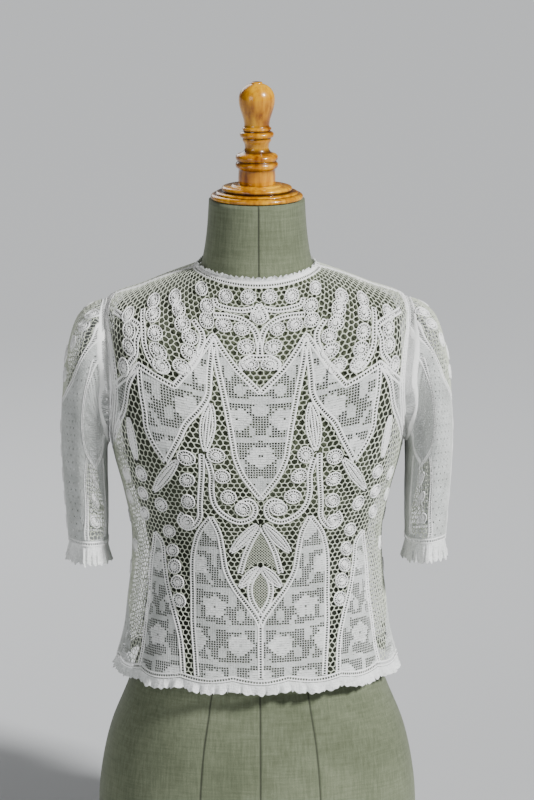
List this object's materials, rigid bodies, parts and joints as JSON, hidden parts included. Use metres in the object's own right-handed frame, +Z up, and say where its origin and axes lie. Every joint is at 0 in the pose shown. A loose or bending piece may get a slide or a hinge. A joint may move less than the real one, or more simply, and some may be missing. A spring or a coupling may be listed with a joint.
{
  "type": "lace blouse on dress form",
  "caption": "Short-sleeved openwork lace blouse with a scalloped frilled hem, resting on a limbless dress form with a turned wood finial.",
  "frame": {"origin": "centre of the dress form's flat underside", "axes": "+Z up, -Y towards the garment's front, +X towards the wearer's left"},
  "size_m": [0.448, 0.2631, 0.9136],
  "materials": {
    "lace": "off-white cotton crochet and braid, matt",
    "linen": "grey-green plain-weave linen, matt",
    "wood": "honey-coloured turned wood, varnished",
    "board": "dark stained board, satin",
    "pearl": "small pearly shirt buttons, glossy"
  },
  "bodies": {
    "root": {"form_torso": "linen", "form_base": "board", "neck_cap": "wood", "finial": "wood", "front": "lace", "back_left": "lace", "back_right": "lace", "back_band": "lace", "sleeve_left_front": "lace", "sleeve_left_back": "lace", "sleeve_right_front": "lace", "sleeve_right_back": "lace", "cuff_frill_left": "lace", "cuff_frill_right": "lace", "hem_frill": "lace", "neck_frill": "lace", "button_1": "pearl", "button_2": "pearl", "button_3": "pearl", "button_4": "pearl", "button_5": "pearl", "button_6": "pearl", "button_7": "pearl", "button_8": "pearl"}
  },
  "joints": []
}
